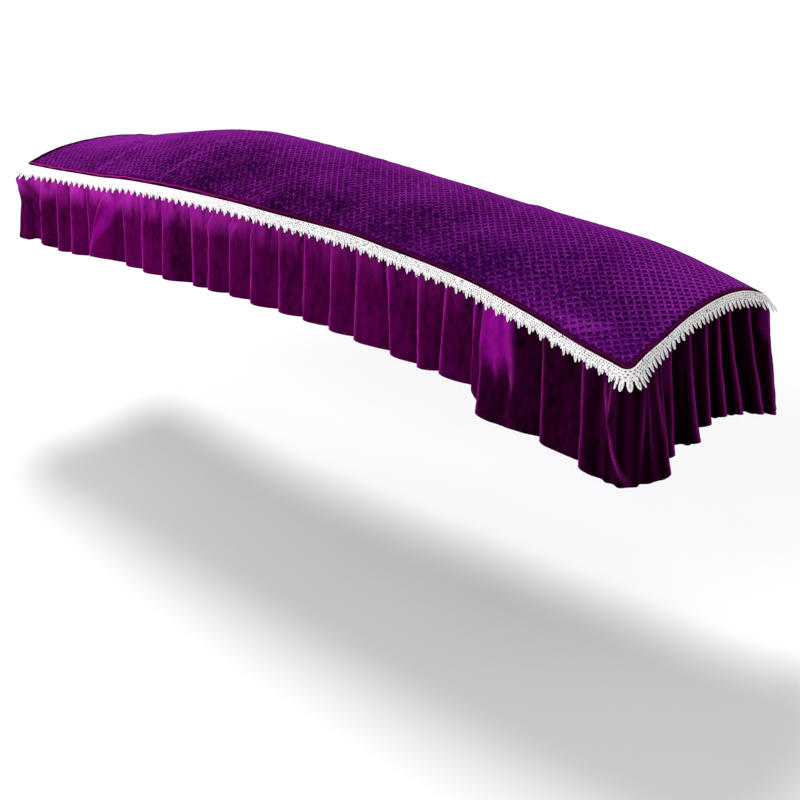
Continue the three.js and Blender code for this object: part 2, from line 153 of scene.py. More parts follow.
# Folds of the skirt by their distance along the rim from the front corner of the tail, in
# the order of the rim: at the top and at the hem, how far the cloth stands off under the
# lace and at the hem, the drop, and the tuck behind the fold (see foldKnots)
foldColumns = ("at", "hem", "spread", "flare", "drop", "tuck")
frontFolds = namedRows(foldColumns, [
    (-18, -20, 31, 36, 174, 0),
    (-4, -5, 33, 37, 171, 0),
    (9, 7, 25, 28, 169, 0),
    (30, 27, 11, 9, 168, 0),
    (52, 45, 8, 15, 178, 13),
    (106, 107, 4, 13, 184, 11),
    (159, 157, 4, 12, 185, 11),
    (222, 222, 4, 10, 185, 10),
    (318, 246, 7, 27, 172, 15),
    (346, 356, 4, 12, 187, 12),
    (411, 428, 5, 24, 189, 12),
    (481, 500, 5, 28, 189, 13),
    (571, 597, 5, 25, 189, 13),
    (628, 641, 4, 23, 190, 12),
    (692, 702, 4, 18, 190, 12),
    (757, 771, 4, 23, 191, 13),
    (841, 845, 4, 16, 192, 12),
    (913, 914, 4, 16, 193, 12),
    (984, 992, 4, 20, 194, 13),
    (1052, 1060, 4, 22, 195, 13),
    (1128, 1145, 4, 12, 196, 12),
    (1205, 1219, 4, 19, 197, 12),
    (1276, 1258, 3, 4, 198, 10),
    (1343, 1333, 4, 0, 199, 9),
    (1360, 1392, 8, 54, 199, 16),
    (1418, 1452, 7, 42, 199, 0),
    (1493, 1513, 5, 26, 200, 13),
    (1578, 1597, 5, 25, 201, 13),
    (1624, 1640, 4, 16, 203, 0),
    (1654, 1658, 11, 12, 204, 0),
    (1668, 1672, 18, 16, 206, 0),
    (1682, 1684, 18, 19, 209, 0),
    (1719, 1708, 12, 34, 216, 0),
    (1745, 1736, 9, 47, 218, -13),
])
headFolds = namedRows(foldColumns, [
    (1777, 1778, 5, 25, 218, -14),
    (1827, 1828, 7, 40, 219, -15),
    (1875, 1880, 6, 27, 215, -14),
    (1910, 1919, 6, 32, 213, -14),
    (1942, 1953, 7, 44, 216, -15),
    (2000, 2003, 10, 55, 219, -16),
    (2056, 2052, 15, 50, 219, -14),
])
backCornerBends = namedRows(foldColumns, [
    (2067, 2066, 15, 42, 218, 0),
    (2080, 2080, 12, 34, 217, 0),
])
tailFolds = namedRows(foldColumns, [
    (3733, 3733, 9, 26, 191, 0),
    (3746, 3748, 8, 24, 190, 0),
    (3783, 3787, 7, 28, 190, -13),
    (3830, 3834, 9, 36, 188, -15),
    (3876, 3877, 10, 26, 187, -13),
    (3923, 3920, 13, 38, 185, -15),
    (3969, 3967, 17, 31, 184, -13),
    (4017, 4010, 25, 42, 180, -14),
])


def clamp(value, low=0.0, high=1.0):
    return min(max(value, low), high)


def lerp(a, b, share):
    return a + (b - a) * share


def unevenAt(a, b, c):
    return noise.noise(Vector((a, b, c)))


# A smooth curve through one column of a table by another, level beyond its ends
def curveThrough(rows, fromColumn, toColumn):
    places = [row[fromColumn] for row in rows]
    values = [row[toColumn] for row in rows]
    last = len(rows) - 1
    slopes = []
    for i in range(last + 1):
        before, after = max(i - 1, 0), min(i + 1, last)
        slopes.append((values[after] - values[before]) / (places[after] - places[before]))

    def valueAt(place):
        i = min(max(bisect_right(places, place) - 1, 0), last - 1)
        span = places[i + 1] - places[i]
        t = clamp((place - places[i]) / span)
        eased = t * t * (3 - 2 * t)
        leaving = slopes[i] * span * t * (1 - t) ** 2
        arriving = slopes[i + 1] * span * t * t * (t - 1)
        return values[i] * (1 - eased) + values[i + 1] * eased + leaving + arriving

    return valueAt


frontHeight, backHeight, crownRise, crownLean = (
    curveThrough(heights, "x", column) for column in ("front", "back", "rise", "lean")
)


def halfWidth(x):
    return lerp(cover["tailWidth"], cover["headWidth"], x / cover["length"] + 0.5) / 2


# How strong a crease or a patch is at a place, from 0 to 1
def strengthOf(row, x, y, slimness=1, sharpness=1):
    turn = math.radians(row["turn"])
    east, north = x - row["x"], y - row["y"]
    along = (east * math.cos(turn) + north * math.sin(turn)) / row["half"]
    across = (north * math.cos(turn) - east * math.sin(turn)) / row["width"]
    return math.exp(-(along * along + slimness * across * across) ** sharpness)


def summed(rows, column, x, y, sharpness=1):
    return sum(row[column] * strengthOf(row, x, y, sharpness=sharpness) for row in rows)


# How near the crest of a narrow crease is, for its painted highlight
def creaseCrest(x, y):
    narrow = [crease for crease in creases if crease["width"] < cover["narrowCrease"]]
    return max(strengthOf(crease, x, y, slimness=2) for crease in narrow)


def archHeight(x, y):
    across = clamp(y / halfWidth(x), -1, 1)
    dome = 1 - abs(across) ** cover["domePower"]
    seam = lerp(frontHeight(x), backHeight(x), (across + 1) / 2)
    return seam + (crownRise(x) * (1 + crownLean(x) * across) + summed(creases, "height", x, y)) * dome


originHeight = archHeight(0, 0) - cover["panelThickness"]


def coverHeight(x, y):
    return archHeight(x, y) - originHeight


# The rim in plan, as a fine line of points: a tapered rectangle with round corners
def buildRim():
    half, tail, head = cover["length"] / 2, cover["tailWidth"] / 2, cover["headWidth"] / 2
    corners = [Vector(corner) for corner in ((-half, -tail), (half, -head), (half, head), (-half, tail))]
    rim = {"points": [], "along": [], "sideStarts": [], "sideLengths": [], "straight": []}
    setback, cornerSteps = cover["cornerSetback"], cover["cornerSteps"]

    def add(point):
        points, along = rim["points"], rim["along"]
        along.append(along[-1] + (point - points[-1]).length if points else 0.0)
        points.append(point)

    for i, corner in enumerate(corners):
        nearest, following = corners[(i + 1) % 4], corners[(i + 2) % 4]
        side = nearest - corner
        end = nearest - side.normalized() * setback
        turned = nearest + (following - nearest).normalized() * setback
        rim["sideStarts"].append(sum(rim["sideLengths"]))
        rim["sideLengths"].append(side.length)
        if i == 0:
            add(corner + side.normalized() * setback)
        started = rim["along"][-1]
        add(end)
        rim["straight"].append((started, rim["along"][-1]))
        for k in range(1, cornerSteps + 1):
            t = k / cornerSteps
            add(end * (1 - t) ** 2 + nearest * 2 * t * (1 - t) + turned * t * t)
    rim["length"] = rim["along"][-1]
    rim["sharpLength"] = sum(rim["sideLengths"])
    rim["corner"] = rim["straight"][1][0] - rim["straight"][0][1]
    return rim


rim = buildRim()


def rimPoint(distance):
    distance %= rim["length"]
    i = min(bisect_right(rim["along"], distance) - 1, len(rim["along"]) - 2)
    span = rim["along"][i + 1] - rim["along"][i]
    return rim["points"][i].lerp(rim["points"][i + 1], (distance - rim["along"][i]) / span)


# Distance along the rounded rim for a distance along the rim with sharp corners
def roundDistance(at):
    wrapped = at % rim["sharpLength"]
    side = bisect_right(rim["sideStarts"], wrapped) - 1
    share = (wrapped - rim["sideStarts"][side]) / rim["sideLengths"][side]
    start, end = rim["straight"][side]
    return lerp(start - rim["corner"] / 2, end + rim["corner"] / 2, share)


seamCache = {}
tangentReach = 0.0008


# The point on the seam, the way out from it and its height, at a distance along the rounded rim
def seamPlace(distance):
    key = round(distance % rim["length"], 5)
    if key not in seamCache:
        point = rimPoint(key)
        tangent = (rimPoint(key + tangentReach) - rimPoint(key - tangentReach)).normalized()
        seamCache[key] = (point, Vector((tangent.y, -tangent.x)), coverHeight(point.x, point.y))
    return seamCache[key]


def outFrom(place, out, z):
    point, outward, _ = place
    return Vector((point.x + outward.x * out, point.y + outward.y * out, z))


def finishMesh(name, bm, replaced, finish):
    bmesh.ops.recalc_face_normals(bm, faces=bm.faces)
    mesh = meshFrom(bm, name)
    mesh.polygons.foreach_set("use_smooth", [True] * len(mesh.polygons))
    mesh.materials.append(finish)
    piece = addObject(name, mesh)
    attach(piece, "root")
    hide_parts(replaced)
    print(name, "has", len(mesh.polygons), "faces")
    return piece


# Finishes: a signal is what comes out of a node, and signals add up into Math nodes
class Signal:
    def __init__(self, finish, socket):
        self.finish = finish
        self.socket = socket

    def maths(self, operation, *others, clamped=False):
        values = dict(enumerate((self, *others)))
        return self.finish.node("ShaderNodeMath", {"operation": operation, "use_clamp": clamped}, values)

    def __add__(self, other):
        return self.maths("ADD", other)

    def __mul__(self, other):
        return self.maths("MULTIPLY", other)

    def __sub__(self, other):
        return self.maths("SUBTRACT", other)

    def __rsub__(self, other):
        return self.maths("MULTIPLY", -1.0).maths("ADD", other)

    def __truediv__(self, other):
        return self.maths("DIVIDE", other)

    __radd__ = __add__
    __rmul__ = __mul__

    def clamped(self):
        return self.maths("ADD", 0.0, clamped=True)

    # A soft step from 0 at one value to 1 at another
    def between(self, low, high):
        values = {0: self, 1: low, 2: high, 3: 0.0, 4: 1.0}
        return self.finish.node("ShaderNodeMapRange", {"interpolation_type": "SMOOTHSTEP"}, values)


class Finish:
    def __init__(self, name, piece, constants):
        self.piece = piece
        self.material = bpy.data.materials.new(name)
        self.material.use_nodes = True
        self.tree = self.material.node_tree
        self.shader = self.tree.nodes["Principled BSDF"]
        for socketName, value in constants.items():
            self.shader.inputs[socketName].default_value = value

    # Sets an input to a signal, a value, or what the piece's dictionary has under that name
    def plug(self, socket, value):
        if isinstance(value, str):
            value = self.piece[value]
        if isinstance(value, Signal):
            self.tree.links.new(value.socket, socket)
        else:
            socket.default_value = value

    def node(self, kind, settings=None, values=None, output=0):
        made = self.tree.nodes.new(kind)
        for setting, value in (settings or {}).items():
            setattr(made, setting, value)
        for socket, value in (values or {}).items():
            self.plug(made.inputs[socket], value)
        return Signal(self, made.outputs[output])

    # A base under coats of colour, each with how much of it shows
    def layered(self, base, *coats):
        for factor, colour in coats:
            values = {0: factor, 6: base, 7: colour}
            base = self.node("ShaderNodeMix", {"data_type": "RGBA"}, values, output=2)
        return base

    def position(self):
        return self.node("ShaderNodeTexCoord", output="Object")

    def attribute(self, name):
        return self.node("ShaderNodeAttribute", {"attribute_name": name}, output="Fac")

    # Noise in the piece's own space; squeeze scales it along each axis
    def noise(self, scale, detail, roughness, squeeze=None):
        source = self.position()
        if squeeze:
            source = self.node("ShaderNodeMapping", {}, {"Vector": source, "Scale": squeeze})
        values = {"Vector": source, "Scale": scale, "Detail": detail, "Roughness": roughness}
        return self.node("ShaderNodeTexNoise", {}, values)

    def parts(self, vector):
        split = self.tree.nodes.new("ShaderNodeSeparateXYZ")
        self.plug(split.inputs[0], vector)
        return [Signal(self, output) for output in split.outputs]

    def bump(self, height, distance, strength):
        return self.node("ShaderNodeBump", {}, {"Height": height, "Distance": distance, "Strength": strength})

    # The material, once its shader shows this
    def showing(self, colour, roughness, normal=None):
        values = {"Base Color": colour, "Roughness": roughness, "Normal": normal}
        for socketName, value in values.items():
            if value is not None:
                self.plug(self.shader.inputs[socketName], value)
        return self.material


# A screen colour, 0 to 255, as the linear colour that shaders use
def tint(red, green, blue):
    return (*Color((red / 255, green / 255, blue / 255)).from_srgb_to_scene_linear(), 1.0)


# A finish of pile, which shines only where it stands edge on
def pileFinish(name, piece):
    weight, roughness, colour = piece["sheen"]
    sheen = {"Sheen Weight": weight, "Sheen Roughness": roughness, "Sheen Tint": colour}
    return Finish(name, piece, {**sheen, "Specular IOR Level": 0.0})


# The padded top: velvet pressed with a diamond lattice of short dents
topPiece = {
    "flat": (1.66, 0.40),
    "lattice": 0.0172,     # repeat along and across the cover
    "spacing": 1.075,      # how close it stands in the middle
    "crowding": 0.079,     # how much closer it stands towards the tail
    "reach": 1.2,          # no line of it lies further out, in its own measure
    "cellsPerRepeat": 4,
    "grooveShare": 0.17,   # where the line of cells beside a groove stands in the repeat
    "relief": 0.0027,
    "reliefRise": 0.02,    # how far in from the piping the relief is full
    "reliefEdge": 0.15,    # how much of it there is at the piping
    "flatterFront": (-0.18, -0.1, 0.6),     # from where to where across, and its share in front
    "dentWidth": 0.7,
    "dentEnds": (0.05, 0.8),
    "weakDent": 0.12,      # depth of the dents that run from the back left to the front right
    "crossing": 0.35,
    "undersideCell": 0.012,
    "cornerCuts": [1 / 6, 1 / 3, 1 / 2, 2 / 3, 5 / 6],      # shares of a quarter turn
    "edgeRoll": 0.0016,    # how far the edge dips at the piping
    "edgeRollReach": 0.005,
    "velvet": tint(36, 0, 41),
    # random lighter patches, and the painted light to the back and towards both ends
    "lighter": tint(100, 12, 108),
    "cool": tint(58, 2, 84),
    # painted shade in the dents
    "dent": tint(15, 0, 21),
    # random bright specks, and painted highlights on the pads and crease crests
    "speckAndHighlight": tint(164, 46, 176),
    "sheen": (0.08, 0.3, tint(205, 60, 225)),
}


# Place along the cover in the lattice's own measure, for numbers and for signals, and back
def crowded(x):
    return x * (topPiece["spacing"] - x * topPiece["crowding"])


def uncrowded(place):
    spacing, crowding = topPiece["spacing"], topPiece["crowding"]
    return (spacing - math.sqrt(spacing ** 2 - 4 * crowding * place)) / (2 * crowding)


# Distance to the nearest line of the lattice, from 0 on it to 1 halfway between two
def latticeWave(value):
    return abs(value - round(value)) * 2


def smooth(value, low, high):
    t = clamp((value - low) / (high - low))
    return t * t * (3 - 2 * t)


# How far the pressed top stands over the bottom of its dents, from 0 to 1: each side of a
# diamond is a dent that fades out towards the crossings
def embossAt(x, y):
    step = topPiece["lattice"]
    first, second = (latticeWave((crowded(x) + side * y) / step) for side in (1, -1))

    def dent(across, along):
        return (1 - smooth(across, 0, topPiece["dentWidth"])) * smooth(along, *topPiece["dentEnds"])

    crossing = (1 - max(first, second)) ** 2 * topPiece["crossing"]
    return 1 - max(dent(second, first), dent(first, second) * topPiece["weakDent"], crossing)


def topInset(x, y):
    inside = cover["pipingWidth"] + cover["gap"]
    return min(halfWidth(x) - inside - abs(y), cover["length"] / 2 - inside - abs(x))


def topHeight(x, y):
    inset = topInset(x, y)
    roll = topPiece["edgeRoll"] * (1 - clamp(inset / topPiece["edgeRollReach"])) ** 2
    relief = topPiece["relief"] * clamp(inset / topPiece["reliefRise"], topPiece["reliefEdge"])
    front, behind, share = topPiece["flatterFront"]
    relief *= lerp(share, 1, smooth(y, front, behind))
    return coverHeight(x, y) - relief * (1 - embossAt(x, y)) - roll


# Cuts a flat sheet to the outline of the top: the ends, then each side and its round corners
def cutToTop(bm):
    inside = cover["pipingWidth"] + cover["gap"]
    halfLength = cover["length"] / 2 - inside
    corner = cover["panelCorner"]
    lean = (cover["headWidth"] - cover["tailWidth"]) / 2 / cover["length"]
    cuts = [(Vector((end * halfLength, 0, 0)), Vector((end, 0, 0)), None) for end in (-1, 1)]
    for side in (-1, 1):
        seam = Vector((0, side * (halfWidth(0) - inside), 0))
        cuts.append((seam, Vector((-lean, side, 0)).normalized(), None))
        for end in (-1, 1):
            middleX = end * (halfLength - corner)
            middle = Vector((middleX, side * (halfWidth(middleX) - inside - corner), 0))
            for turn in (math.pi / 2 * share for share in topPiece["cornerCuts"]):
                away = Vector((end * math.cos(turn), side * math.sin(turn), 0))
                cuts.append((middle + away * corner, away, middle))
    for place, away, near in cuts:
        reach = corner * 3
        faces = [f for f in bm.faces if near is None or (f.verts[0].co - near).length < reach]
        edges = dict.fromkeys(edge for face in faces for edge in face.edges)
        verts = dict.fromkeys(vert for face in faces for vert in face.verts)
        geom = [*faces, *edges, *verts]
        bmesh.ops.bisect_plane(bm, geom=geom, plane_co=place, plane_no=away, clear_outer=True, dist=1e-6)


def buildTop():
    step, cells, groove = topPiece["lattice"], topPiece["cellsPerRepeat"], topPiece["grooveShare"]
    lines = [0, groove, 0.5, 1 - groove]
    repeats = math.ceil((cover["headWidth"] / 2 - crowded(-cover["length"] / 2)) / step) + 1
    bm = bmesh.new()
    count = 2 * repeats * cells
    bmesh.ops.create_grid(bm, x_segments=count, y_segments=count, size=repeats * cells)
    far = []
    for vert in bm.verts:
        first, second = (v // cells + lines[v % cells] for v in (round(vert.co.x), round(vert.co.y)))
        along = clamp((first + second) * step / 2, -topPiece["reach"], topPiece["reach"])
        vert.co = (uncrowded(along), (first - second) * step / 2, 0)
        if abs(vert.co.x) > cover["length"] / 2 + step or abs(vert.co.y) > cover["headWidth"] / 2 + step:
            far.append(vert)
    bmesh.ops.delete(bm, geom=far, context="VERTS")
    cutToTop(bm)
    crest = bm.verts.layers.float.new("crest")
    for vert in bm.verts:
        vert[crest] = creaseCrest(vert.co.x, vert.co.y)
        vert.co.z = topHeight(vert.co.x, vert.co.y)

    below = bmesh.new()
    cell = topPiece["undersideCell"]
    along, across = (math.ceil(cover[side] / cell) for side in ("length", "headWidth"))
    bmesh.ops.create_grid(below, x_segments=along, y_segments=across, size=1)
    for vert in below.verts:
        vert.co = (vert.co.x * along * cell / 2, vert.co.y * across * cell / 2, 0)
    cutToTop(below)
    for vert in below.verts:
        vert.co.z = coverHeight(vert.co.x, vert.co.y) - cover["panelThickness"]
    flat = meshFrom(below, "underside")
    bm.from_mesh(flat)
    bpy.data.meshes.remove(flat)
    bmesh.ops.bridge_loops(bm, edges=[edge for edge in bm.edges if edge.is_boundary])
    return finishMesh("padded_top", bm, "top_panel", topVelvet())


def topVelvet():
    finish = pileFinish("pressed velvet", topPiece)
    x, y, _ = finish.parts(finish.position())
    waver = finish.noise(46, 2, 0.5) * 0.3 - 0.15

    # Place within a repeat, from -0.5 to 0.5, with a lattice line at 0
    def place(signal):
        return (signal / topPiece["lattice"] + waver + 0.5).maths("FRACT") - 0.5

    first = place(crowded(x) + y)
    arch = (first * 2 * math.pi).maths("COSINE") * 0.03 * topPiece["lattice"]
    second = place(crowded(x) - y + arch)
    nearFirst, nearSecond = first.maths("ABSOLUTE") * 2.0, second.maths("ABSOLUTE") * 2.0
    pile = finish.noise(420, 4, 0.65)
    speck = finish.noise(170, 3, 0.7)
    brushed = finish.noise(60, 4, 0.65, (1, 1.6, 1))
    patch = finish.noise(7, 2, 0.5)

    # Painted shade in the dents, patchy and stronger to the back, and painted highlights on the pads between
    # them, lightest along their crests
    dentShading = (finish.noise(28, 3, 0.6).between(0.3, 0.5) * 0.4 + 0.65) * (y.between(-0.18, -0.1) * 0.45 + 0.55)
    dash = (1 - nearSecond.between(0.18, 0.62)) * nearFirst.between(0.18, 0.46)
    # column and ridge are painted highlights on the pads, along the lattice and on the far side of each dent
    column = (1 - nearFirst.between(0.05, 0.55)) * (1 - nearSecond.between(0.15, 0.8) * 0.75)
    ridge = (1 - ((second + 0.26) * 4.5).maths("ABSOLUTE").between(0.1, 1.0)) * nearFirst.between(0.1, 0.5)

    # Painted light: lighter to the back, where the light grazes the pile, and towards both ends
    ends = x.between(0.5, 0.8) * 0.22 + (1 - x.between(-0.6, -0.2)) * 0.35
    high = (y.between(-0.14, 0.13) * 0.56 + ends).clamped()
    uneven = (speck - 0.5) * 1.5 + (brushed - 0.5) * 1.6 + (patch - 0.5) * 0.7
    # painted highlights on the pads, stronger where the painted light is
    shining = (column + ridge * 0.9) * (high * 0.8 + uneven + 0.16).clamped()
    colour = finish.layered(
        "velvet",
        # random lighter patches, and the painted light to the back and towards both ends
        (patch.between(0.32, 0.7) * 0.4 + high * 0.8, "lighter"),
        (x.between(0.1, 0.8) * 0.65, "cool"),
        (speck.between(0.48, 0.72) * 0.3, "speckAndHighlight"),
        # painted highlights on the pads and on the crests of narrow creases
        (shining + finish.attribute("crest") * 0.35, "speckAndHighlight"),
        # painted shade in the dents, patchy and stronger to the back
        (dash * (speck * 0.5 + 0.85) * dentShading, "dent"),
    )
    return finish.showing(colour, pile * 0.25 + 0.6, finish.bump(pile + brushed, 0.0007, 0.6))


# The piping round the rim
pipingPiece = {
    "station": 0.008,
    "swell": 0.0009,       # how uneven it is above its foot
    "foot": -0.002,
    "sheen": (0.04, 0.5, tint(220, 80, 180)),
    "plum": tint(30, 0, 24),
    # painted shadow at the tail end
    "dark": tint(8, 0, 8),
    "darkEnd": (-0.828, -0.82),             # place along, where the painted shadow at the tail end is over
    "lighter": tint(52, 2, 42),
    # painted highlight along the rounded middle of the tape, pinker on the front towards the tail where the
    # light falls
    "band": tint(88, 9, 64),
    "pink": tint(186, 34, 158),
    "section": [(0.0, -0.003), (0.0, -0.0008), (0.0006, 0.0003), (0.002, 0.0009), (0.0035, 0.0012),
                (0.0055, 0.0013), (0.007, 0.0011), (0.0084, 0.0006), (0.009, -0.0004), (0.009, -0.003)],
}


# A tube round the rim through a closed section every few millimetres; also says for each of
# its points the place along the rim and the number in the section
def rimTube(pitch, sectionAt):
    bm = bmesh.new()
    count = round(rim["length"] / pitch)
    rings, places = [], {}
    for distance in (rim["length"] * k / count for k in range(count)):
        ring = [bm.verts.new(point) for point in sectionAt(distance)]
        places.update({vert: (distance, k) for k, vert in enumerate(ring)})
        rings.append([bm.edges.new((ring[k - 1], ring[k])) for k in range(len(ring))])
    for k, ring in enumerate(rings):
        bmesh.ops.bridge_loops(bm, edges=rings[k - 1] + ring)
    return bm, places


def buildPiping():
    def sectionAt(distance):
        place = seamPlace(distance)
        points = []
        for inward, above in pipingPiece["section"]:
            point = outFrom(place, -inward, 0)
            swell = pipingPiece["swell"] * unevenAt(distance * 40, inward * 200, 3)
            point.z = coverHeight(point.x, point.y) + above + (swell if above > pipingPiece["foot"] else 0)
            points.append(point)
        return points

    bm, _ = rimTube(pipingPiece["station"], sectionAt)
    across = bm.verts.layers.float.new("across")
    for vert in bm.verts:
        vert[across] = clamp((cover["pipingWidth"] + topInset(vert.co.x, vert.co.y)) / cover["pipingWidth"])
    return finishMesh("rim_tape", bm, "rim_piping", tapeFinish())


def tapeFinish():
    finish = pileFinish("plum tape", pipingPiece)
    x, y, _ = finish.parts(finish.position())
    pile = finish.noise(260, 3, 0.6)
    wide = finish.noise(26, 2, 0.5)
    across = finish.attribute("across") + (wide - 0.5) * 0.7
    # painted highlight along the rounded middle of the tape, pinker on the front towards the tail where the
    # light falls
    band = across.between(0.12, 0.32) * (1 - across.between(0.44, 0.7))
    towardTail = (1 - x.between(-0.65, 0.1)) * (1 - y.between(-0.1, 0.0))
    colour = finish.layered(
        "plum",
        (wide.between(0.35, 0.7), "lighter"),
        (band * (pile * 1.1 + 0.1), finish.layered("band", (towardTail, "pink"))),
        # painted shadow at the tail end
        (1 - x.between(*pipingPiece["darkEnd"]), "dark"),
    )
    return finish.showing(colour, pile * 0.2 + 0.6, finish.bump(pile, 0.0005, 0.7))


# The skirt: pleated velvet in four strips
skirtPiece = {
    "start": 0.004,
    "foldUnder": 0.014,
    "laceLevel": 0.14,     # share of the drop that lies under the lace
    "flareCurve": 1.2,
    "layers": {"outer": -0.0009, "middle": -0.0031, "inner": -0.0053},
    "thickness": 0.0012,
    "sheen": (0.12, 0.28, tint(220, 60, 205)),
    # velvet, glow and tip are lit forms, and dim, dimGlow and dimTip shaded forms, of one velvet, mixed by
    # the painted light and shade along the rim
    "velvet": tint(84, 1, 71),
    "dim": tint(9, 0, 5),
    "glow": tint(124, 10, 108),
    # painted light where the cloth comes out from under the lace
    "gatherLit": tint(190, 42, 182),
    "dimGlow": tint(46, 2, 34),
    "tip": tint(180, 36, 168),
    "dimTip": tint(128, 24, 112),
    "lit": tint(150, 13, 148),
    "shade": tint(5, 0, 4),
    "column": 0.0075,
    "fine": [(1.35, 1.43, 0.0035), (1.60, 1.76, 0.0021)],   # from, to, and closer columns for creases
    "tuckWidth": 0.02,     # knots closer than this are a tuck, with a few even columns
    "hemTuck": 0.7,        # how much deeper the tucks get towards the hem
    "cornerRound": (0.0035, 0.006),         # how the hem rounds up to a fold's tip: height, reach
    "hemWave": (11, 0.0016),
    "nearTip": [0.0012, 0.0026, 0.0045, 0.007, 0.011, 0.017],   # columns beside a fold's tip
    "foldSteps": 4,
    "rows": 38,
    "tipWidth": 0.0034,
    "bendWidth": 0.008,
    "glowWidth": 0.011,
    "tipColumns": 24,      # a tip's painted highlight and glow, and its lift of the hem, show in this many columns on either side
    "shadeReach": 0.009,
    # the painted highlight on the edge of the hem, and the painted shade along its seam: where each comes and
    # goes, above the hem
    "hemEdge": (0.0004, 0.0022),
    "hemSeam": (0.0068, 0.0082, 0.0092, 0.0125),
    "waves": [(16, 20, 0.0024, 1.0), (52, 45, 0.0009, 0.6)],    # per metre across and down, height, growth
    "puckers": (120, 12, 0.0016),
    "creaseReach": 0.1,
    "crestWidth": 0.0055,  # creases narrower than this get a painted highlight on their crest
    "crestHeight": 0.0038,                  # and it is full where they stand out this far
    "marks": ("foldTip", "foldGlow", "foldHidden", "gatherLight", "fromHem", "tone", "light", "crest"),
    # shares of the drop between which the puckers come and go, and so on
    "levels": {"puckers": (0.1, 0.2), "noPuckers": (0.2, 0.55), "ripples": (0.04, 0.22),
               "unbent": (0.1, 0.32), "noGathers": (0.12, 0.46), "middle": 0.6},
    "back": {"count": 24, "halfPleat": 0.7, "swing": 0.004, "uneven": 0.005, "spread": 0.005,
             "flare": 0.018, "drop": (0.216, 0.191), "tuck": -0.013},
}


def buildBackFolds():
    folds = []
    back = skirtPiece["back"]
    for i in range(back["count"]):
        share = (i + back["halfPleat"]) / back["count"]
        swing = math.sin(i * 2.4) + 0.6 * math.sin(i * 5.1 + 1)
        at = rim["sideStarts"][2] + rim["sideLengths"][2] * share + back["swing"] * swing
        hem, flare = at + back["uneven"] * math.sin(i * 3.3), back["flare"] + back["uneven"] * swing
        row = (at, hem, back["spread"], flare, lerp(*back["drop"], share), back["tuck"])
        folds.append(dict(zip(foldColumns, row)))
    return folds


# Soft creases of the skirt: distance along the rim and depth under the seam, direction (90 is
# straight down), half length, half width, and how far they stand out
skirtCreases = namedRows(creaseColumns, [
    (286, 80, 112, 60, 14, 5),
    (310, 120, 98, 60, 16, -5),
    (1429, 60, 76, 50, 3.4, 3),
    (1384, 75, 92, 40, 22, 8),
    (1428, 128, 30, 20, 8, -4.5),
    (1441, 120, 80, 18, 4, 3.4),
    (1413, 114, 78, 14, 4, 2),
    (-4, 20, 0, 20, 34, 5),
    (-4, 85, 0, 20, 26, -5),
    (24, 75, 52, 50, 5, -4),
    (1440, 130, 95, 70, 12, -6),
    (1548, 130, 90, 80, 18, -4),
    (1635, 66, 80, 34, 3.2, 4.2),
    (1643, 60, 94, 36, 3, 4),
    (1639, 50, 87, 30, 2.8, -3.6),
    (1656, 148, 74, 44, 2.8, 3.6),
    (1688, 90, 92, 60, 3.6, 2),
    (1703, 100, 86, 60, 3.4, 2.2),
    (1712, 100, 90, 60, 5, -3),
    (1728, 90, 86, 70, 3.8, 2.6),
    (640, 50, 112, 22, 6, 3),
    (702, 52, 66, 22, 6, 3),
    (716, 46, 120, 18, 5, 2.5),
    (790, 50, 62, 26, 7, 3),
    (520, 48, 75, 30, 8, 2.5),
    (72, 80, 108, 50, 8, 4),
    (40, 60, 78, 40, 8, 3),
    (1096, 120, 84, 60, 14, -3),
    (950, 110, 97, 60, 14, -3),
    (1170, 90, 100, 60, 12, 3),
    (1310, 110, 86, 70, 10, -3),
])

# Painted light and shade along the rim: lit most towards the tail, in shade at the head
skirtTones = namedRows(("at", "tone"), [
    (-20, 0.46), (100, 0.58), (250, 0.94), (340, 0.88), (500, 0.74), (650, 0.54), (800, 0.6), (1100, 0.57),
    (1330, 0.48), (1420, 0.17), (1580, 0.12), (1620, 0.04), (1680, -0.06), (1740, 0), (2060, 0), (2120, 0.2),
    (2600, 0.45), (3700, 0.6), (4040, 0.9),
])
# Painted light on the cloth where it comes out from under the lace, how bright along the rim
skirtGathers = namedRows(("at", "tone"), [
    (-20, 1), (300, 0.9), (450, 0.75), (620, 0.6), (800, 0.3), (1100, 0.14), (1330, 0.08), (1450, 0),
    (2060, 0), (2600, 0.1), (3700, 0.5), (4040, 1),
])
# Patches of painted light and shade, placed like the creases
skirtLights = namedRows((*creaseColumns[:-1], "light"), [
    (1398, 40, 78, 74, 34, 0.8),
    (1427, 62, 76, 64, 7, 0.6),
    (1400, 60, 78, 62, 9, 0.4),
    (298, 85, 124, 64, 12, 0.75),
    (322, 130, 94, 70, 22, -0.35),
    (545, 148, 90, 18, 24, -0.45),
    (425, 45, 90, 30, 16, 0.35),
    (500, 50, 92, 34, 20, 0.3),
    (650, 50, 94, 30, 10, 0.25),
    (128, 50, 90, 36, 12, 0.3),
    (22, 48, 52, 34, 8, -0.4),
    (2003, 45, 90, 30, 10, 0.22),
    (2045, 45, 90, 34, 12, 0.3),
    (1765, 55, 90, 44, 10, 0.15),
])

# Folds whose edge swings out sideways on its way down: at, from which level, and how early
sweeps = {0.318: (0.12, 0.3), 1.360: (0, 0.8)}
# Folds that bend sideways where they come out of the lace, and how far
bends = {0.318: 0.013, 0.628: 0.018, 0.692: 0.015, 0.757: 0.012}

strips = [
    {"name": "front", "folds": frontFolds, "belly": 0.0025, "flat": (0.195, 2.6)},
    {"name": "head", "folds": headFolds, "belly": -0.010, "flat": (0.215, 0.6)},
    {"name": "back", "folds": backCornerBends + buildBackFolds(), "belly": 0.002, "flat": (0.2, 2.5)},
    {"name": "tail", "folds": tailFolds, "belly": -0.005, "flat": (0.185, 0.55)},
]

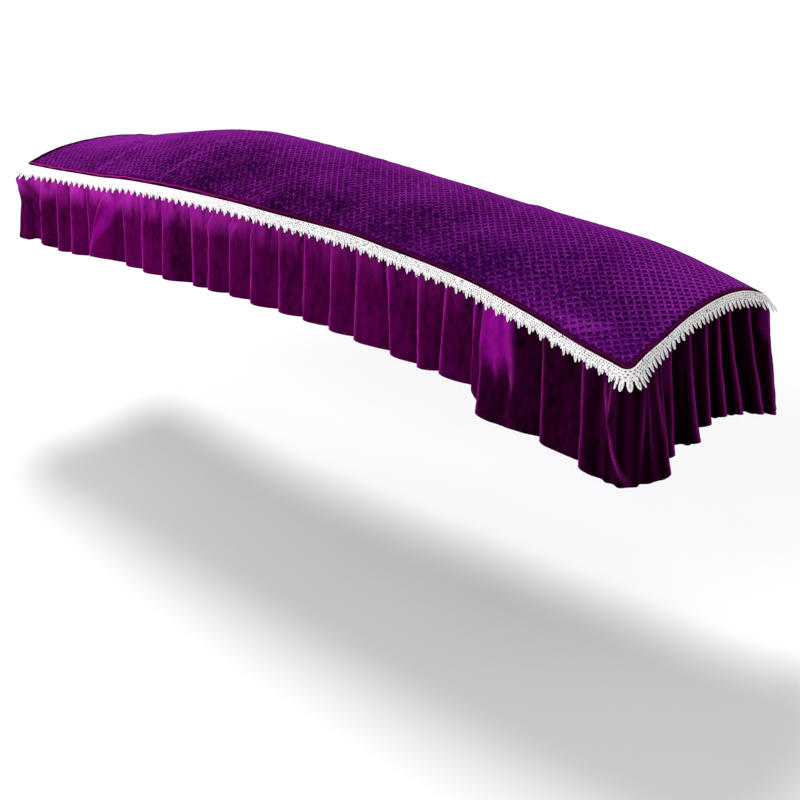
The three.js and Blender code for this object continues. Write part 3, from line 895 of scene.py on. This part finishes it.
# All round the rim: how far the cloth stands off under the lace, its painted light and shade, and the painted
# light where it comes out from under the lace
roundFolds = [fold for strip in strips for fold in strip["folds"]]
closing = {**roundFolds[0], "at": roundFolds[0]["at"] + rim["sharpLength"]}
spreadRound = curveThrough([*roundFolds, closing], "at", "spread")
toneRound, gatherRound = (curveThrough(rows, "at", "tone") for rows in (skirtTones, skirtGathers))


# A fold is its tip and the tuck behind it, in three layers; marks say how a knot is shaded
def foldKnots(fold):
    swingFrom, sweep = sweeps.get(fold["at"], (0, 1))

    def knot(shift, layer, share, tip=0.0, hidden=0.0):
        return {
            "at": fold["at"] + shift, "hem": fold["hem"] + shift, "spread": spreadRound(fold["at"] + shift),
            "flare": fold["flare"], "drop": fold["drop"], "top": skirtPiece["layers"][layer],
            "depth": abs(fold["tuck"]) * share, "tip": tip, "hidden": hidden,
            "swingFrom": swingFrom, "sweep": sweep, "bend": bends.get(fold["at"], 0.0),
        }

    if fold["tuck"] == 0:
        return [knot(0, "outer", 0, tip=0.1)]
    under = math.copysign(skirtPiece["foldUnder"], fold["tuck"])
    knots = [
        knot(0, "inner", 0.8, hidden=1),
        knot(under, "inner", 0.85, hidden=1),
        knot(under, "middle", 0.5, hidden=1),
        knot(0, "middle", 0.4, hidden=0.8),
        knot(0, "outer", 0, tip=1),
    ]
    return knots if fold["tuck"] > 0 else knots[::-1]


def faceKnot(a, b, belly):
    mixed = {key: (a[key] + b[key]) / 2 for key in a}
    mixed["depth"] -= belly
    mixed["tip"] = mixed["hidden"] = 0
    return mixed


def standOff(knot, level):
    lace = skirtPiece["laceLevel"]
    upper = min(level / lace, 1) * knot["spread"]
    below = max((level - lace) / (1 - lace), 0) ** skirtPiece["flareCurve"]
    lower = below * (knot["flare"] - knot["spread"])
    return knot["top"] + upper + lower - knot["depth"] * level * (1 + skirtPiece["hemTuck"] * level * level)


def stripKnots(index):
    strip, previous = strips[index], strips[index - 1]
    turnBack = rim["sharpLength"] if index == 0 else 0
    knots = foldKnots(previous["folds"][-1])[-2:]
    knots = [{**knot, "at": knot["at"] - turnBack, "hem": knot["hem"] - turnBack} for knot in knots]
    for fold in strip["folds"]:
        following = foldKnots(fold)
        if fold is strip["folds"][-1]:
            following = following[:-2]
        knots += [faceKnot(knots[-1], following[0], strip["belly"]), *following]
    return knots


# Centripetal curve between the middle two of four points
def curvePoint(points, share):
    times = [0.0]
    for a, b in zip(points, points[1:]):
        times.append(times[-1] + max((b - a).length, 1e-5) ** 0.5)
    time = lerp(times[1], times[2], share)

    def blend(a, b, start, end):
        return a.lerp(b, (time - start) / (end - start))

    first = [blend(points[k], points[k + 1], times[k], times[k + 1]) for k in range(3)]
    second = [blend(first[k], first[k + 1], times[k], times[k + 2]) for k in range(2)]
    return blend(second[0], second[1], times[1], times[2])


# Shares of the way between two knots where the columns of the cloth stand
def columnShares(length, fromTip, toTip, pitch):
    if length < skirtPiece["tuckWidth"]:
        return [step / skirtPiece["foldSteps"] for step in range(skirtPiece["foldSteps"])]
    near = [distance / length for distance in skirtPiece["nearTip"] if distance < length * 0.7]
    start = [0, *near] if fromTip else [0]
    end = [1 - share for share in reversed(near)] if toTip else []
    room = (end[0] if end else 1) - start[-1]
    steps = max(round(room * length / pitch), 1)
    return [*start, *(start[-1] + room * step / steps for step in range(1, steps)), *end]


def rowsNear(rows, at):
    return [row for row in rows if abs(at - row["x"]) < skirtPiece["creaseReach"]]


# How far the cloth stands out of its main folds at a place on the rim and a depth
def rippleAt(at, level, drop):
    point = rimPoint(roundDistance(at))

    def wave(across, down, height):
        return height * unevenAt(point.x * across, point.y * across, level * down * drop)

    levels = skirtPiece["levels"]
    puckered = smooth(level, *levels["puckers"]) * (1 - smooth(level, *levels["noPuckers"]))
    out = wave(*skirtPiece["puckers"]) * puckered
    for across, down, height, growth in skirtPiece["waves"]:
        out += wave(across, down, height) * level ** growth
    out += summed(rowsNear(skirtCreases, at), "height", at, level * drop)
    return out * smooth(level, *levels["ripples"])


# How much painted light or shade a place gets beyond its tone, and how near a crease's crest is, for its
# painted highlight
def lightAt(at, depth):
    crest = 0.0
    for crease in rowsNear(skirtCreases, at):
        if crease["width"] < skirtPiece["crestWidth"]:
            near = strengthOf(crease, at, depth, slimness=2.5)
            crest = max(crest, near * crease["height"] / skirtPiece["crestHeight"])
    return summed(rowsNear(skirtLights, at), "light", at, depth, sharpness=3), crest


def knotAt(knot, level):
    swung = max(level - knot["swingFrom"], 0) / (1 - knot["swingFrom"])
    bent = knot["bend"] * (1 - smooth(level, *skirtPiece["levels"]["unbent"]))
    return lerp(knot["at"], knot["hem"], swung ** knot["sweep"]) + bent


def knotPoint(knot, level):
    place = seamPlace(roundDistance(knotAt(knot, level)))
    z = place[2] - lerp(skirtPiece["start"], knot["drop"], level)
    return outFrom(place, standOff(knot, level), z)


# Where the columns of the cloth stand: the knot before each and its share of the way to the
# next; also the lengths between the knots
def stripColumns(knots):
    middle = [knotPoint(knot, skirtPiece["levels"]["middle"]) for knot in knots]
    lengths = [(b - a).length for a, b in zip(middle, middle[1:])]
    columns = []
    for k, length in enumerate(lengths):
        closer = [near for low, high, near in skirtPiece["fine"] if low < knots[k]["at"] < high]
        pitch = min([skirtPiece["column"], *closer])
        shares = columnShares(length, knots[k]["tip"] == 1, knots[k + 1]["tip"] == 1, pitch)
        columns += [(k, share) for share in shares]
    return [*columns, (len(knots) - 2, 1.0)], lengths


# How near a column is to the tips of folds, for their painted highlight, how far the painted glow
# beside them reaches it, and how far they lift its hem
def tipsNear(column, tips, lengths):
    tip = glow = lift = 0.0
    height, reach = skirtPiece["cornerRound"]
    for tipColumn, strength in tips:
        if abs(tipColumn - column) < skirtPiece["tipColumns"]:
            away = abs(lengths[column] - lengths[tipColumn])
            width = skirtPiece["tipWidth"] if strength == 1 else skirtPiece["bendWidth"]
            tip = max(tip, strength * math.exp(-((away / width) ** 2)))
            glow = max(glow, strength * math.exp(-away / skirtPiece["glowWidth"]))
            if strength == 1:
                lift = max(lift, height * math.exp(-away / reach))
    return tip, glow, lift


# How hidden the cloth is between two knots, which sets its painted shade: 1 in a tuck, fading out over a face
# beside it
def hiddenAt(this, following, share, length):
    before, after = this["hidden"], following["hidden"]
    if before == after or min(before, after) > 0 or max(this["tip"], following["tip"]) == 1:
        return lerp(before, after, share)
    gone = (1 - share if after else share) * length
    return math.exp(-gone / min(skirtPiece["shadeReach"], 0.3 * length))


def buildStrip(index):
    strip = strips[index]
    knots = stripKnots(index)
    columns, faceLengths = stripColumns(knots)
    knotColumns = {k: column for column, (k, share) in enumerate(columns) if share == 0}
    tips = [(knotColumns[k], knot["tip"]) for k, knot in enumerate(knots) if knot["tip"] and k in knotColumns]
    rows = skirtPiece["rows"]
    bm = bmesh.new()
    bmesh.ops.create_grid(bm, x_segments=len(columns) - 1, y_segments=rows, size=0.5)
    marks = [bm.verts.layers.float.new(name) for name in skirtPiece["marks"]]
    grid = {}
    for vert in bm.verts:
        grid[round((vert.co.x + 0.5) * (len(columns) - 1)), round((0.5 - vert.co.y) * rows)] = vert
    wavesPerMetre, waveHeight = skirtPiece["hemWave"]
    widths = []
    for row in range(rows + 1):
        level = (row / rows) ** 1.1
        line = [knotPoint(knot, level) for knot in knots]
        line = [line[0] * 2 - line[1], *line, line[-1] * 2 - line[-2]]
        points = [curvePoint(line[k:k + 4], share) for k, share in columns]
        lengths = [0.0]
        for a, b in zip(points, points[1:]):
            lengths.append(lengths[-1] + (b - a).length)
        widths.append(lengths[-1])
        for column, (k, share) in enumerate(columns):
            this, following = knots[k], knots[k + 1]
            at = lerp(knotAt(this, level), knotAt(following, level), share)
            drop = lerp(this["drop"], following["drop"], share)
            outward, ripple = seamPlace(roundDistance(at))[1], rippleAt(at, level, drop)
            tip, glow, lift = tipsNear(column, tips, lengths)
            rise = (lift + waveHeight * unevenAt(at * wavesPerMetre, 7, index)) * level ** 5
            vert = grid[column, row]
            vert.co = points[column] + Vector((outward.x * ripple, outward.y * ripple, rise))
            hidden = hiddenAt(this, following, share, faceLengths[k])
            gatherLight = gatherRound(at) * (1 - smooth(level, *skirtPiece["levels"]["noGathers"]))
            values = (tip, glow, hidden, gatherLight, (1 - level) * drop, toneRound(at))
            values += lightAt(at, level * drop)
            for mark, value in zip(marks, values):
                vert[mark] = value
    print("pleated", strip["name"], "is", round(min(widths), 3), "to", round(max(widths), 3), "m of cloth")
    piece = finishMesh("pleated_" + strip["name"], bm, "skirt_" + strip["name"], skirtVelvet)
    wall = piece.modifiers.new("thickness", "SOLIDIFY")
    wall.thickness = skirtPiece["thickness"]
    wall.offset = 0
    return piece


def velvetFinish():
    finish = pileFinish("pleated velvet", skirtPiece)
    tip, glow, hidden, gatherLight, fromHem, rimLightShade, light, crest = map(finish.attribute, skirtPiece["marks"])
    pile = finish.noise(520, 3, 0.7)
    brushed = finish.noise(95, 5, 0.72, (1, 1, 0.45))
    patch = finish.noise(13, 3, 0.55, (1, 1, 0.35))
    streaks = finish.noise(42, 4, 0.6, (1, 1, 0.22))
    uneven = (patch - 0.5) * 1.3 + (streaks - 0.5) * 1.1 + (brushed - 0.5) * 2.2
    tone = (rimLightShade + uneven * (rimLightShade + 0.2)).clamped()

    # A colour between its shaded and its lit form, by the painted light along the rim made uneven by noise
    def toned(dim, bright):
        return finish.layered(dim, (tone, bright))

    start, full, fading, end = skirtPiece["hemSeam"]
    hemSeam = fromHem.between(start, full) * (1 - fromHem.between(fading, end)) * brushed.between(0.3, 0.6)
    colour = finish.layered(
        # painted light and shade along the rim, as lit and shaded forms of the velvet
        toned("dim", "velvet"),
        # painted highlight spreading from the fold tips
        (glow * 0.5, toned("dimGlow", "glow")),
        # painted light where the cloth comes out from under the lace
        (gatherLight * (streaks.between(0.3, 0.65) * 0.9 + brushed * 0.3) * 0.9, "gatherLit"),
        # painted light and painted shade in patches
        (light.clamped() * (brushed * 1.4 + 0.02), "lit"),
        (light * -1.0, "dim"),
        # painted highlights on the fold tips and on the crests of narrow creases
        (tip * (brushed * 0.8 + 0.5) + crest * 1.1, toned("dimTip", "tip")),
        # painted shade along the seam of the hem
        (hemSeam * 0.3, "shade"),
        # painted highlight on the edge of the hem
        ((1 - fromHem.between(*skirtPiece["hemEdge"])) * 0.4, toned("dimGlow", "glow")),
        # painted shade in the tucks
        (hidden.between(0.05, 1.0) * 0.94, "shade"),
    )
    crushed = finish.bump(pile + brushed * 1.5 - hemSeam, 0.0006, 0.6)
    return finish.showing(colour, pile * 0.2 + 0.62, crushed)


# The lace under the piping: a header band with three rows of eyelets, and petals below it
lacePiece = {
    "thickness": 0.001,
    "start": 0.001,
    "depth": 0.028,
    "lowest": 0.0286,      # no petal reaches further down
    "header": 0.0152,
    "station": 0.0041,
    "standOff": 0.0005,
    "lean": 0.0017,
    "cornerEase": 0.0024,
    "cornerFan": 0.005,
    "cornerReach": 0.026,
    "repeat": 0.0222,
    "crowding": 0.12,      # how much closer the front's teeth stand at the tail than midway
    "eyelet": 0.0053,      # pitch of the eyelets along a row
    "eyeletRows": [0.0026, 0.0064, 0.0104],
    "cordUnder": 0.0019,   # a cord runs this far under each of them
    "wideRow": 0.0138,     # a row of wider holes
    # petals of a repeat: where they start along it and under the seam, where they end, and
    # their width; they are the steps of a tooth, and at the head end and the corners leaves
    "petals": {
        "side": [
            (0.08, 0.0100, 0.14, 0.0216, 0.0066),
            (0.36, 0.0105, 0.48, 0.0296, 0.0076),
            (0.66, 0.0105, 0.72, 0.0246, 0.0064),
            (0.92, 0.0100, 0.94, 0.0192, 0.0052),
        ],
        "head": [
            (0.18, 0.0100, 0.34, 0.0290, 0.0086),
            (0.66, 0.0105, 0.84, 0.0266, 0.0078),
        ],
        "corner": [(0.5, 0.0110, 0.5, 0.0292, 0.0040)],
    },
    "cornerPetals": 5,
    "petalThickness": 0.0011,
    "petalUneven": 0.14,
    "flat": (0.028, 4.2),
    "white": tint(254, 253, 252),
    "shaded": tint(246, 241, 242),
    "hole": tint(34, 6, 32),
}


def cornerShare(distance):
    middles = [straight[1] + rim["corner"] / 2 for straight in rim["straight"]]
    wrapped = distance % rim["length"]
    away = min(abs(wrapped - middle + turn * rim["length"]) for middle in middles for turn in (-1, 0, 1))
    return math.exp(-((away / lacePiece["cornerReach"]) ** 2))


def sharpDistance(distance):
    wrapped = distance % rim["length"]
    half = rim["corner"] / 2
    for side, (start, end) in enumerate(rim["straight"]):
        if wrapped < end + half:
            share = (wrapped - start + half) / (end - start + 2 * half)
            return rim["sideStarts"][side] + share * rim["sideLengths"][side]
    return wrapped - rim["length"] + half


def lacePoint(distance, down, layer=0.0):
    place = seamPlace(distance)
    near = cornerShare(distance)
    atEdge = spreadRound(sharpDistance(distance)) + lacePiece["lean"] + lacePiece["cornerFan"] * near
    out = lacePiece["standOff"] + lacePiece["cornerEase"] * near + atEdge * down / lacePiece["depth"]
    return outFrom(place, out + layer, place[2] - lacePiece["start"] - down)


# Repeats of the lace round the rim: start, end and kind
def laceRepeats():
    repeats = []

    def add(kind, start, end, count, crowding=0):
        shares = [k / count for k in range(count + 1)]
        ends = [lerp(start, end, share * (1 - crowding * (1 - share))) for share in shares]
        repeats.extend((*pair, kind) for pair in zip(ends, ends[1:]))

    for side, (start, end) in enumerate(rim["straight"]):
        count = round((end - start) / lacePiece["repeat"])
        add("head" if side == 1 else "side", start, end, count, 0 if side else lacePiece["crowding"])
        add("corner", end, end + rim["corner"], lacePiece["cornerPetals"])
    return repeats


# Marks where each corner of a face lies: along the rim and under the seam, or on its petal
def markLace(bm, uv, places):
    for face in bm.faces:
        spots = [places[loop.vert] for loop in face.loops]
        wraps = max(spot[0] for spot in spots) - min(spot[0] for spot in spots) > rim["length"] / 2
        for loop, (along, down) in zip(face.loops, spots):
            if wraps and along < rim["length"] / 2:
                along += rim["length"]
            loop[uv].uv = (along, down)


def buildLace():
    header, thick = lacePiece["header"], lacePiece["thickness"]
    section = [(header * share, thick) for share in (0, 0.12, 0.3, 0.5, 0.7, 0.88, 1)]
    section += [(header, 0), (header * 0.5, 0), (0, 0)]

    def sectionAt(distance):
        return [lacePoint(distance, down, layer) for down, layer in section]

    bm, spots = rimTube(lacePiece["station"], sectionAt)
    places = {vert: (distance, section[k][0]) for vert, (distance, k) in spots.items()}

    petal = bmesh.new()
    bmesh.ops.create_uvsphere(petal, u_segments=8, v_segments=6, radius=1.0)
    for face in petal.faces:
        face.material_index = 1
    petalMesh = meshFrom(petal, "petal")
    for number, (start, end, kind) in enumerate(laceRepeats()):
        for step, (fromShare, fromDown, toShare, toDown, width) in enumerate(lacePiece["petals"][kind]):
            swing = lacePiece["petalUneven"] * unevenAt(number * 0.37, step * 1.7, 5)
            longer = 1 + lacePiece["petalUneven"] * unevenAt(number * 0.37 + 9, step * 1.7, 5)
            known = len(bm.verts)
            bm.from_mesh(petalMesh)
            bm.verts.ensure_lookup_table()
            for vert in bm.verts[known:]:
                across, along = vert.co.x, (1 - vert.co.z) / 2
                sideways = across * width / 2 * (1.3 - 0.65 * along)
                distance = lerp(start, end, lerp(fromShare, toShare + swing, along)) + sideways
                down = min(lerp(fromDown, toDown * longer, along), lacePiece["lowest"])
                puff = vert.co.y * lacePiece["petalThickness"] * (0.6 + 0.4 * along)
                vert.co = lacePoint(distance, down, thick * 0.5 + puff)
                places[vert] = (across * 0.5 + 0.5, along)
    bpy.data.meshes.remove(petalMesh)
    markLace(bm, bm.loops.layers.uv.new("lace"), places)
    piece = finishMesh("petal_lace", bm, "rim_lace", yarnFinish("lace header", headerPattern))
    piece.data.materials.append(yarnFinish("lace petals", petalPattern))
    return piece


# The lace's yarn, with small pits and holes that fade towards the tail, painted as washed out by light;
# the pattern says how much of a hole shows, what it does to the relief, and how strong the relief is
def yarnFinish(name, pattern):
    finish = Finish(name, lacePiece, {"Specular IOR Level": 0.1})
    grain = finish.noise(900, 3, 0.65)
    clump = finish.noise(260, 3, 0.6)
    x, _, _ = finish.parts(finish.position())
    # the pits and holes fade towards the tail, painted as washed out by light there
    holesShownInShade = x.between(-0.6, 0.15) * 0.75 + 0.15
    pits = (1 - finish.noise(230, 2, 0.5).between(0.33, 0.37)) * holesShownInShade
    place = finish.parts(finish.node("ShaderNodeUVMap", {"uv_map": "lace"}))
    shown, relief, strength = pattern(*place[:2], clump, holesShownInShade)
    knitted = finish.bump(grain * 0.4 + clump * 0.8 + relief, 0.0008, strength)
    colour = finish.layered("shaded", (clump.between(0.32, 0.6), "white"), (pits, "hole"), (shown, "hole"))
    return finish.showing(colour, grain * 0.15 + 0.8, knitted)


def headerPattern(along, down, clump, holesShownInShade):
    pitch = lacePiece["eyelet"]

    # How far a place is from the nearest of a row of holes, along the row
    def offHole(spacing, shift):
        return ((along / spacing + shift).maths("FRACT") - 0.5) * spacing

    wide, low = offHole(pitch * 1.5, 0.0), down - lacePiece["wideRow"]
    holes = 1 - (wide * wide * 0.6 + low * low * 0.7).between(0.0000010, 0.0000030)
    cords = 0.0
    for row, level in enumerate(lacePiece["eyeletRows"]):
        across, high = offHole(pitch, 0.5 * (row % 2)), down - level
        holes = holes + 1 - (across * across * 0.8 + high * high * 1.3).between(0.0000009, 0.0000026)
        cords = 1 - (high - lacePiece["cordUnder"]).maths("ABSOLUTE").between(0.0002, 0.0009) + cords
    shown = (holes * clump.between(0.4, 0.5)).clamped() * holesShownInShade
    return shown * 0.95, cords * 0.4 - shown * 1.6, 0.7


def petalPattern(across, along, _, holesShownInShade):
    slit = 1 - (across - 0.5).maths("ABSOLUTE").between(0.03, 0.12)
    slit = slit * along.between(0.3, 0.45) * (1 - along.between(0.7, 0.85))
    return slit * 0.6 * holesShownInShade, slit * -1.5, 1.0


# A plain pale floor and soft studio lamps
stage = {
    "floor": -0.66,
    "reach": 30,
    "dull": (0.86, 0.86, 0.87, 1),
    "pale": (0.9, 0.9, 0.9, 1),
    "roughness": 0.9,
    "background": (0.97, 0.97, 0.98, 1),
    "backgroundStrength": 0.54,
    # name, kind, place, heading, pitch, angle in degrees or size, strength
    "lamps": [
        ("high", "SUN", (0, 0, 3), -38, -44, 16, 2.4),
        ("front", "SUN", (0, 0, 3), 78, -26, 40, 1.15),
        ("tail", "AREA", (-1.5, -1.2, 0.5), 58, -25, 0.7, 6),
    ],
}


def buildStage():
    bm = bmesh.new()
    bmesh.ops.create_grid(bm, x_segments=1, y_segments=1, size=stage["reach"])
    for vert in bm.verts:
        vert.co.z = stage["floor"]
    mesh = meshFrom(bm, "floor")
    finish = Finish("pale floor", stage, {"Specular IOR Level": 0.1})
    colour = finish.layered("dull", (finish.noise(3, 2, 0.5), "pale"))
    mesh.materials.append(finish.showing(colour, stage["roughness"]))
    addObject("floor", mesh)
    world = bpy.data.worlds.new("studio")
    bpy.context.scene.world = world
    world.use_nodes = True
    background = world.node_tree.nodes["Background"]
    background.inputs["Color"].default_value = stage["background"]
    background.inputs["Strength"].default_value = stage["backgroundStrength"]
    for name, kind, place, heading, pitch, size, strength in stage["lamps"]:
        data = bpy.data.lights.new(name, kind)
        if kind == "SUN":
            data.angle = math.radians(size)
        else:
            data.size = size
        data.energy = strength
        addObject(name, data, aimedMatrix(place, heading, pitch))


top = buildTop()
piping = buildPiping()
skirtVelvet = velvetFinish()
skirt = [buildStrip(index) for index in range(4)]
lace = buildLace()
buildStage()
print("pieces are built")
